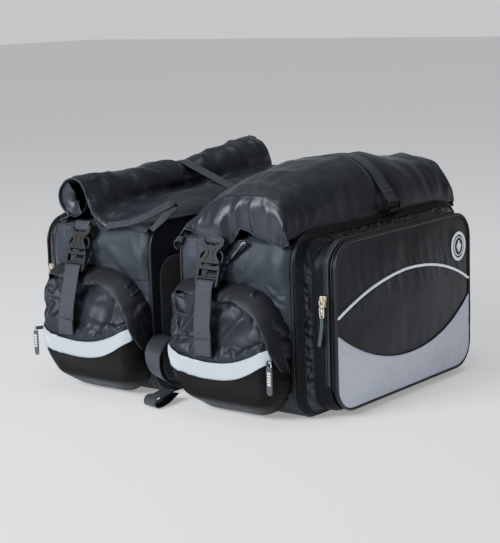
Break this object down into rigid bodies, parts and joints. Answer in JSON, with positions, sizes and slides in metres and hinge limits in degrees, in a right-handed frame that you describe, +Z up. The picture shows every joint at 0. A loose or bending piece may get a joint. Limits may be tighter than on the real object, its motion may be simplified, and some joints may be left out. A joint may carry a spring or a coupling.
{
  "type": "saddlebag",
  "caption": "Pair of soft roll-top motorcycle saddlebags joined by yoke straps, with zipped outer and end pockets and side-release buckles.",
  "frame": {"origin": "on the floor, midway between the two bags and midway along them", "axes": "+X across the motorcycle through the right bag, +Y along it towards the rear ends, +Z up"},
  "size_m": [0.558, 0.5308, 0.3498],
  "materials": {
    "shell_fabric": "coated black nylon, soft gloss on the folds",
    "panel_fabric": "black satin nylon",
    "grey_fabric": "woven mid grey polyester",
    "pad_fabric": "matt non-slip mesh",
    "piping": "black corded piping",
    "white_piping": "reflective white piping",
    "reflective_tape": "pale reflective tape",
    "webbing": "ribbed black webbing",
    "buckle_plastic": "moulded black acetal",
    "board": "stiff base board",
    "zip_tape": "coil zip on woven tape",
    "zip_brass": "lacquered brass",
    "pull_metal": "plated pull",
    "tag_rubber": "moulded pull",
    "badge_print": "silver print"
  },
  "bodies": {
    "yoke_right": {"yoke_right_straps": "webbing"},
    "yoke_left": {"yoke_left_straps": "webbing"},
    "right_bag": {"right_body_shell": "shell_fabric", "right_base_board": "board", "right_back_pad": "pad_fabric", "right_body_piping": "piping", "right_roll_top": "shell_fabric", "right_top_strap": "webbing", "right_strap_ring": "buckle_plastic", "right_pocket_walls": "shell_fabric", "right_pocket_zip": "zip_tape", "right_end_pockets": "shell_fabric", "right_end_flaps": "shell_fabric", "right_reflective_strips": "reflective_tape", "right_buckle_females": "buckle_plastic", "right_buckle_webbing": "webbing"},
    "right_panel": {"right_pocket_panel": "panel_fabric", "right_panel_piping": "piping", "right_white_piping": "white_piping", "right_grey_insert": "grey_fabric", "right_badge": "badge_print"},
    "right_zip_slider": {"right_zip_slider": "zip_brass"},
    "right_zip_pull": {"right_zip_pull": "pull_metal"},
    "right_front_buckle": {"right_front_buckle_male": "buckle_plastic", "right_front_strap_tail": "webbing"},
    "right_front_tag": {"right_front_tag": "tag_rubber"},
    "right_rear_buckle": {"right_rear_buckle_male": "buckle_plastic", "right_rear_strap_tail": "webbing"},
    "right_rear_tag": {"right_rear_tag": "tag_rubber"},
    "left_bag": {"left_body_shell": "shell_fabric", "left_base_board": "board", "left_back_pad": "pad_fabric", "left_body_piping": "piping", "left_roll_top": "shell_fabric", "left_top_strap": "webbing", "left_strap_ring": "buckle_plastic", "left_pocket_walls": "shell_fabric", "left_pocket_zip": "zip_tape", "left_end_pockets": "shell_fabric", "left_end_flaps": "shell_fabric", "left_reflective_strips": "reflective_tape", "left_buckle_females": "buckle_plastic", "left_buckle_webbing": "webbing", "left_lower_strap": "webbing"},
    "left_panel": {"left_pocket_panel": "panel_fabric", "left_panel_piping": "piping", "left_white_piping": "white_piping", "left_grey_insert": "grey_fabric", "left_badge": "badge_print"},
    "left_zip_slider": {"left_zip_slider": "zip_brass"},
    "left_zip_pull": {"left_zip_pull": "pull_metal"},
    "left_front_buckle": {"left_front_buckle_male": "buckle_plastic", "left_front_strap_tail": "webbing"},
    "left_front_tag": {"left_front_tag": "tag_rubber"},
    "left_rear_buckle": {"left_rear_buckle_male": "buckle_plastic", "left_rear_strap_tail": "webbing"},
    "left_rear_tag": {"left_rear_tag": "tag_rubber"}
  },
  "joints": [
    {"name": "yoke_adjust", "type": "slide", "parent": "yoke_right", "child": "yoke_left", "axis": [-1, 0, 0], "range_m": [0, 0.035]},
    {"name": "right_bag_swing", "type": "hinge", "parent": "yoke_right", "child": "right_bag", "pos_m": [0.0295, 0, 0.2485], "axis": [0, -1, 0], "range_deg": [0, 30]},
    {"name": "right_panel_fold", "type": "hinge", "parent": "right_bag", "child": "right_panel", "pos_m": [0.268, 0, 0.012], "axis": [0, 1, 0], "range_deg": [0, 70]},
    {"name": "right_zip_slide", "type": "slide", "parent": "right_bag", "child": "right_zip_slider", "axis": [0, 0, 1], "range_m": [-0.105, 0.03]},
    {"name": "right_zip_pull_swing", "type": "hinge", "parent": "right_zip_slider", "child": "right_zip_pull", "pos_m": [0.2615, -0.1911, 0.1735], "axis": [-1, 0, 0], "range_deg": [0, 95]},
    {"name": "right_front_buckle_release", "type": "slide", "parent": "right_bag", "child": "right_front_buckle", "axis": [0, -0.342, -0.9397], "range_m": [0, 0.025]},
    {"name": "right_front_tag_swing", "type": "hinge", "parent": "right_bag", "child": "right_front_tag", "pos_m": [0.22, -0.2624, 0.094], "axis": [-1, 0, 0], "range_deg": [0, 60]},
    {"name": "right_rear_buckle_release", "type": "slide", "parent": "right_bag", "child": "right_rear_buckle", "axis": [0, 0.342, -0.9397], "range_m": [0, 0.025]},
    {"name": "right_rear_tag_swing", "type": "hinge", "parent": "right_bag", "child": "right_rear_tag", "pos_m": [0.22, 0.2624, 0.094], "axis": [1, 0, 0], "range_deg": [0, 60]},
    {"name": "left_bag_swing", "type": "hinge", "parent": "yoke_left", "child": "left_bag", "pos_m": [-0.0295, 0, 0.245], "axis": [0, 1, 0], "range_deg": [0, 30]},
    {"name": "left_panel_fold", "type": "hinge", "parent": "left_bag", "child": "left_panel", "pos_m": [-0.268, 0, 0.012], "axis": [0, -1, 0], "range_deg": [0, 70]},
    {"name": "left_zip_slide", "type": "slide", "parent": "left_bag", "child": "left_zip_slider", "axis": [0, 0, 1], "range_m": [-0.105, 0.03]},
    {"name": "left_zip_pull_swing", "type": "hinge", "parent": "left_zip_slider", "child": "left_zip_pull", "pos_m": [-0.2615, -0.1911, 0.1735], "axis": [-1, 0, 0], "range_deg": [0, 95]},
    {"name": "left_front_buckle_release", "type": "slide", "parent": "left_bag", "child": "left_front_buckle", "axis": [0, -0.342, -0.9397], "range_m": [0, 0.025]},
    {"name": "left_front_tag_swing", "type": "hinge", "parent": "left_bag", "child": "left_front_tag", "pos_m": [-0.22, -0.2624, 0.094], "axis": [-1, 0, 0], "range_deg": [0, 60]},
    {"name": "left_rear_buckle_release", "type": "slide", "parent": "left_bag", "child": "left_rear_buckle", "axis": [0, 0.342, -0.9397], "range_m": [0, 0.025]},
    {"name": "left_rear_tag_swing", "type": "hinge", "parent": "left_bag", "child": "left_rear_tag", "pos_m": [-0.22, 0.2624, 0.094], "axis": [1, 0, 0], "range_deg": [0, 60]}
  ]
}
